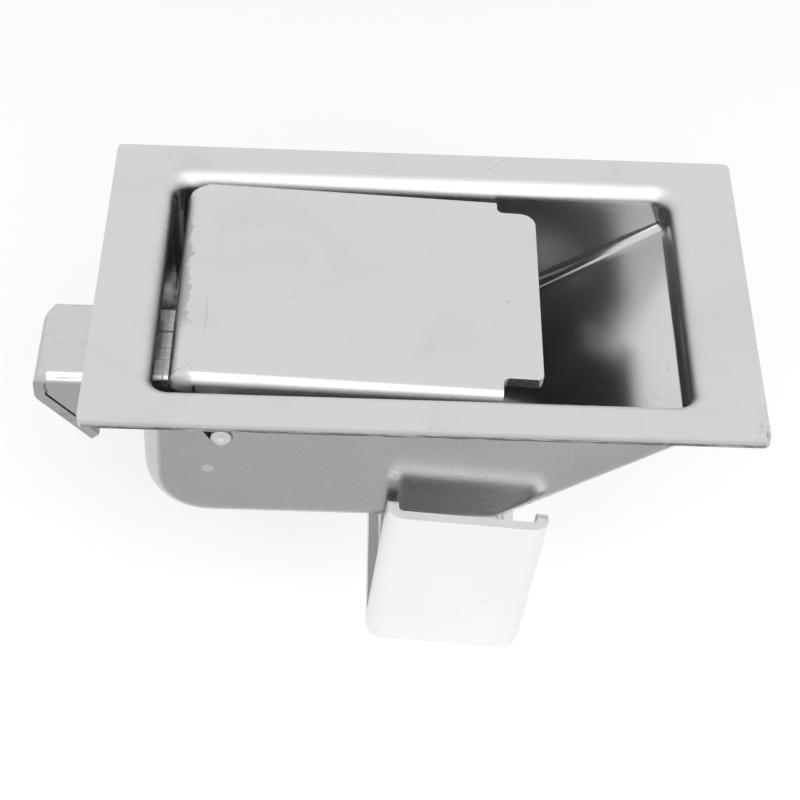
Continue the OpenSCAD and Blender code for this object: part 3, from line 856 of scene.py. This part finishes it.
@dataclass
class BoltAssembly(SubAssembly):
    """Folded slam bolt with its rail, rivets, rod and spring.

    Attributes:
        wire: Wire radius of the spring.
        coil: Mean radius of the spring.
        turns: Turns of the spring.
    """

    wire: float = 0.5 * MM
    coil: float = 3.2 * MM
    turns: int = 8

    def build(self) -> None:
        """Dresses the bolt and what guides it, and winds its spring."""
        for node in ("latch_bolt", "bolt_rail"):
            self.dress(node, BOLT_SHEET)
        for node in ("rail_rivets", "bolt_keeper", "spring_rod"):
            self.dress(node, TURNED_STEEL)
        self.spring()

    def spring(self) -> bpy.types.Object:
        """Winds the bolt spring in the place of its CAD node.

        Returns:
            The spring.
        """
        low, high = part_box("bolt_spring")
        centre = Vector((low.x, (low.y + high.y) / 2, (low.z + high.z) / 2))
        length = high.x - low.x
        mesh = bmesh.new()
        ring = Shape.coil(
            mesh, centre + Vector((self.wire, self.coil, 0)), centre, Vector((1, 0, 0)),
            self.wire, self.turns, (length - 2 * self.wire) / self.turns
        )
        bmesh.ops.contextual_create(mesh, geom=ring)
        made = Shape.piece("bolt_spring_wire", mesh, SPRING_WIRE.material())
        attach(made, "pan_body")
        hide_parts("bolt_spring")
        reach = next(j for j in frame["joints"] if j["name"] == "bolt_slide")["range_m"][1]
        1 - reach / length
        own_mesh(made)
        LOG.info("wound %s", made.name)
        return made


@dataclass
class ClampAssembly(SubAssembly):
    """Zinc-plated bracket, washers and nut on a threaded stud.

    Attributes:
        stud_r: Outer radius of the thread.
        root_r: Radius at the thread's root.
        pitch: Pitch of the thread.
        base_h: Height of the stud's welded base.
        steps: Steps of the thread in one turn.
    """

    stud_r: float = 3.0 * MM
    root_r: float = 2.45 * MM
    pitch: float = 1.0 * MM
    base_h: float = 1.2 * MM
    steps: int = 32

    def build(self) -> None:
        """Dresses the bracket, washers and nut, and cuts the stud's thread."""
        for node in ("clamp_bracket", "flat_washer", "lock_washer", "clamp_nut"):
            self.dress(node, ZINC_PLATE)
        self.stud()

    def stud(self) -> bpy.types.Object:
        """Makes the threaded stud with its welded base.

        Returns:
            The stud.
        """
        low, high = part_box("clamp_stud")
        axis = Vector(((low.x + high.x) / 2, (low.y + high.y) / 2, 0))
        base_z = high.z - self.base_h
        base_r = (high.x - low.x) / 2
        mesh = bmesh.new()
        root, crest = self.root_r, self.stud_r
        shape = ((0.0, root), (0.125, root), (0.4375, crest), (0.5625, crest), (0.875, root), (1.0, root))
        profile = []
        for part, radius in shape:
            place = axis + Vector((radius, 0, low.z + (part - 1.5) * self.pitch))
            profile += bmesh.ops.create_vert(mesh, co=place)["vert"]
        edges = []
        for one, two in zip(profile, profile[1:]):
            edges += bmesh.ops.contextual_create(mesh, geom=[one, two])["edges"]
        turns = math.ceil((base_z - low.z) / self.pitch) + 3
        bmesh.ops.spin(
            mesh, geom=profile + edges, cent=axis, axis=(0, 0, 1), dvec=(0, 0, self.pitch / self.steps),
            angle=2 * math.pi * turns, steps=self.steps * turns,
        )
        bmesh.ops.remove_doubles(mesh, verts=mesh.verts, dist=1e-6)
        for height, side in ((low.z, -1), (base_z + self.edge, 1)):
            bmesh.ops.bisect_plane(
                mesh, geom=mesh.verts[:] + mesh.edges[:] + mesh.faces[:], plane_co=(0, 0, height),
                plane_no=(0, 0, side), clear_outer=True,
            )
        bmesh.ops.holes_fill(mesh, edges=[e for e in mesh.edges if e.is_boundary], sides=0)
        bmesh.ops.create_cone(
            mesh, cap_ends=True, segments=64, radius1=base_r, radius2=base_r, depth=self.base_h,
            matrix=Matrix.Translation(axis + Vector((0, 0, base_z + self.base_h / 2))),
        )
        made = Shape.piece("clamp_stud_thread", mesh, ZINC_PLATE.material())
        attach(made, "pan_body")
        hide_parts("clamp_stud")
        LOG.info("cut %s", made.name)
        return made


@dataclass(frozen=True)
class Lamp:
    """A soft rectangular lamp.

    Attributes:
        name: Name of the lamp.
        place: Its position.
        aim: The point that it faces.
        size: Its width and height.
        power: Its power in watts.
    """

    name: str
    place: tuple[float, float, float]
    aim: tuple[float, float, float]
    size: tuple[float, float]
    power: float

    def hang(self) -> bpy.types.Object:
        """Hangs the lamp.

        Returns:
            The lamp.
        """
        data = bpy.data.lights.new(self.name, "AREA")
        data.shape = "RECTANGLE"
        data.size, data.size_y = self.size
        data.energy = self.power
        made = bpy.data.objects.new(self.name, data)
        made.location = self.place
        made.rotation_mode = "QUATERNION"
        made.rotation_quaternion = (Vector(self.aim) - Vector(self.place)).to_track_quat("-Z", "Y")
        bpy.context.scene.collection.objects.link(made)
        return made


KEY_LAMP = Lamp("key_lamp", (0.05, -0.50, 0.72), (0.0, 0.0, 0.0), (0.9, 0.7), 2.9)
FILL_LAMP = Lamp("fill_lamp", (0.0, -0.88, 0.20), (0.0, 0.0, -0.03), (0.9, 0.45), 1.6)
RAYS = ("Is Camera Ray", "Is Glossy Ray", "Is Transmission Ray")


@dataclass
class Studio:
    """Floor, world, lamps and camera of the picture.

    Attributes:
        eye: Camera position in metres.
        right: Camera's right in the row frame.
        up: Camera's up in the row frame.
        lens: Focal length for a 36 mm sensor.
        floor_gap: Room between the part and the floor.
        floor_size: Half length of the floor's sides.
        floor_grey: Grey of the floor.
        floor_glow: Light that the floor adds where the camera sees it.
        floor_shine: Light that the floor adds in reflections.
        room: Strength of the room's light on the part, where 1 is white.
    """

    eye: tuple[float, float, float] = (-0.01310, -0.28042, 0.26442)
    right: tuple[float, float, float] = (0.99923, 0.00605, 0.03891)
    up: tuple[float, float, float] = (-0.03123, 0.72361, 0.68950)
    lens: float = 93.69
    floor_gap: float = 0.0005
    floor_size: float = 4.0
    floor_grey: float = 0.82
    floor_glow: float = 0.55
    floor_shine: float = 0.42
    room: float = 0.32

    def camera(self) -> bpy.types.Object:
        """Places the camera where the photograph was taken from.

        Returns:
            The camera.
        """
        data = bpy.data.cameras.new("photo_camera")
        data.lens = self.lens
        data.sensor_width = 36.0
        data.clip_start = 0.01
        data.clip_end = 20.0
        right, up = Vector(self.right), Vector(self.up)
        back = right.cross(up).normalized()
        up = back.cross(right).normalized()
        turn = Matrix((right.normalized(), up, back)).transposed().to_4x4()
        made = bpy.data.objects.new("photo_camera", data)
        made.matrix_world = Matrix.Translation(Vector(self.eye)) @ turn
        bpy.context.scene.collection.objects.link(made)
        bpy.context.scene.camera = made
        return made

    def floor(self, low: float) -> bpy.types.Object:
        """Lays a pale floor under the part.

        Args:
            low: Height of the part's lowest point.

        Returns:
            The floor.
        """
        made = bpy.data.materials.new("pale_floor")
        made.use_nodes = True
        tree = made.node_tree
        tree.nodes.clear()
        camera, glossy, through = (Signal.add(tree, "ShaderNodeLightPath", out=name) for name in RAYS)
        grey = rgba((self.floor_grey, self.floor_grey, self.floor_grey))
        matt = Signal.add(tree, "ShaderNodeBsdfDiffuse", None, {"Color": grey})
        strength = (camera + through) * self.floor_glow + glossy * self.floor_shine
        glow = Signal.add(tree, "ShaderNodeEmission", None, {"Color": (1, 1, 1, 1), "Strength": strength})
        both = Signal.add(tree, "ShaderNodeAddShader", None, {0: matt, 1: glow})
        Signal.add(tree, "ShaderNodeOutputMaterial", None, {"Surface": both})
        mesh = bmesh.new()
        bmesh.ops.create_grid(
            mesh, x_segments=2, y_segments=2, size=self.floor_size,
            matrix=Matrix.Translation((0, 0, low - self.floor_gap)),
        )
        plane = Shape.piece("floor", mesh, made)
        return plane

    def world(self) -> None:
        """Lights the part softly from all round, with a white background."""
        made = bpy.data.worlds.new("soft_room")
        made.use_nodes = True
        tree = made.node_tree
        tree.nodes.clear()
        camera, glossy, through = (Signal.add(tree, "ShaderNodeLightPath", out=name) for name in RAYS)
        strength = self.room + (camera + glossy + through) * (1.0 - self.room)
        back = Signal.add(tree, "ShaderNodeBackground", None, {"Color": (1, 1, 1, 1), "Strength": strength})
        Signal.add(tree, "ShaderNodeOutputWorld", None, {"Surface": back})
        bpy.context.scene.world = made

    def build(self, low: float) -> None:
        """Sets up the whole studio.

        Args:
            low: Height of the part's lowest point.
        """
        self.camera()
        self.floor(low)
        self.world()
        for lamp in (KEY_LAMP, FILL_LAMP):
            lamp.hang()
        bpy.context.scene.view_settings.view_transform = "Standard"


def write_size() -> None:
    """Updates the view layer."""
    bpy.context.view_layer.update()


def main() -> None:
    """Builds the pieces in order, then the studio."""
    logging.basicConfig(level=logging.INFO, format="%(name)s: %(message)s")
    for assembly in (PanAssembly(), PaddleAssembly(), BoltAssembly(), ClampAssembly()):
        assembly.build()
    Studio().build(cad_box[0].z)
    write_size()


if __name__ == "__main__":
    main()
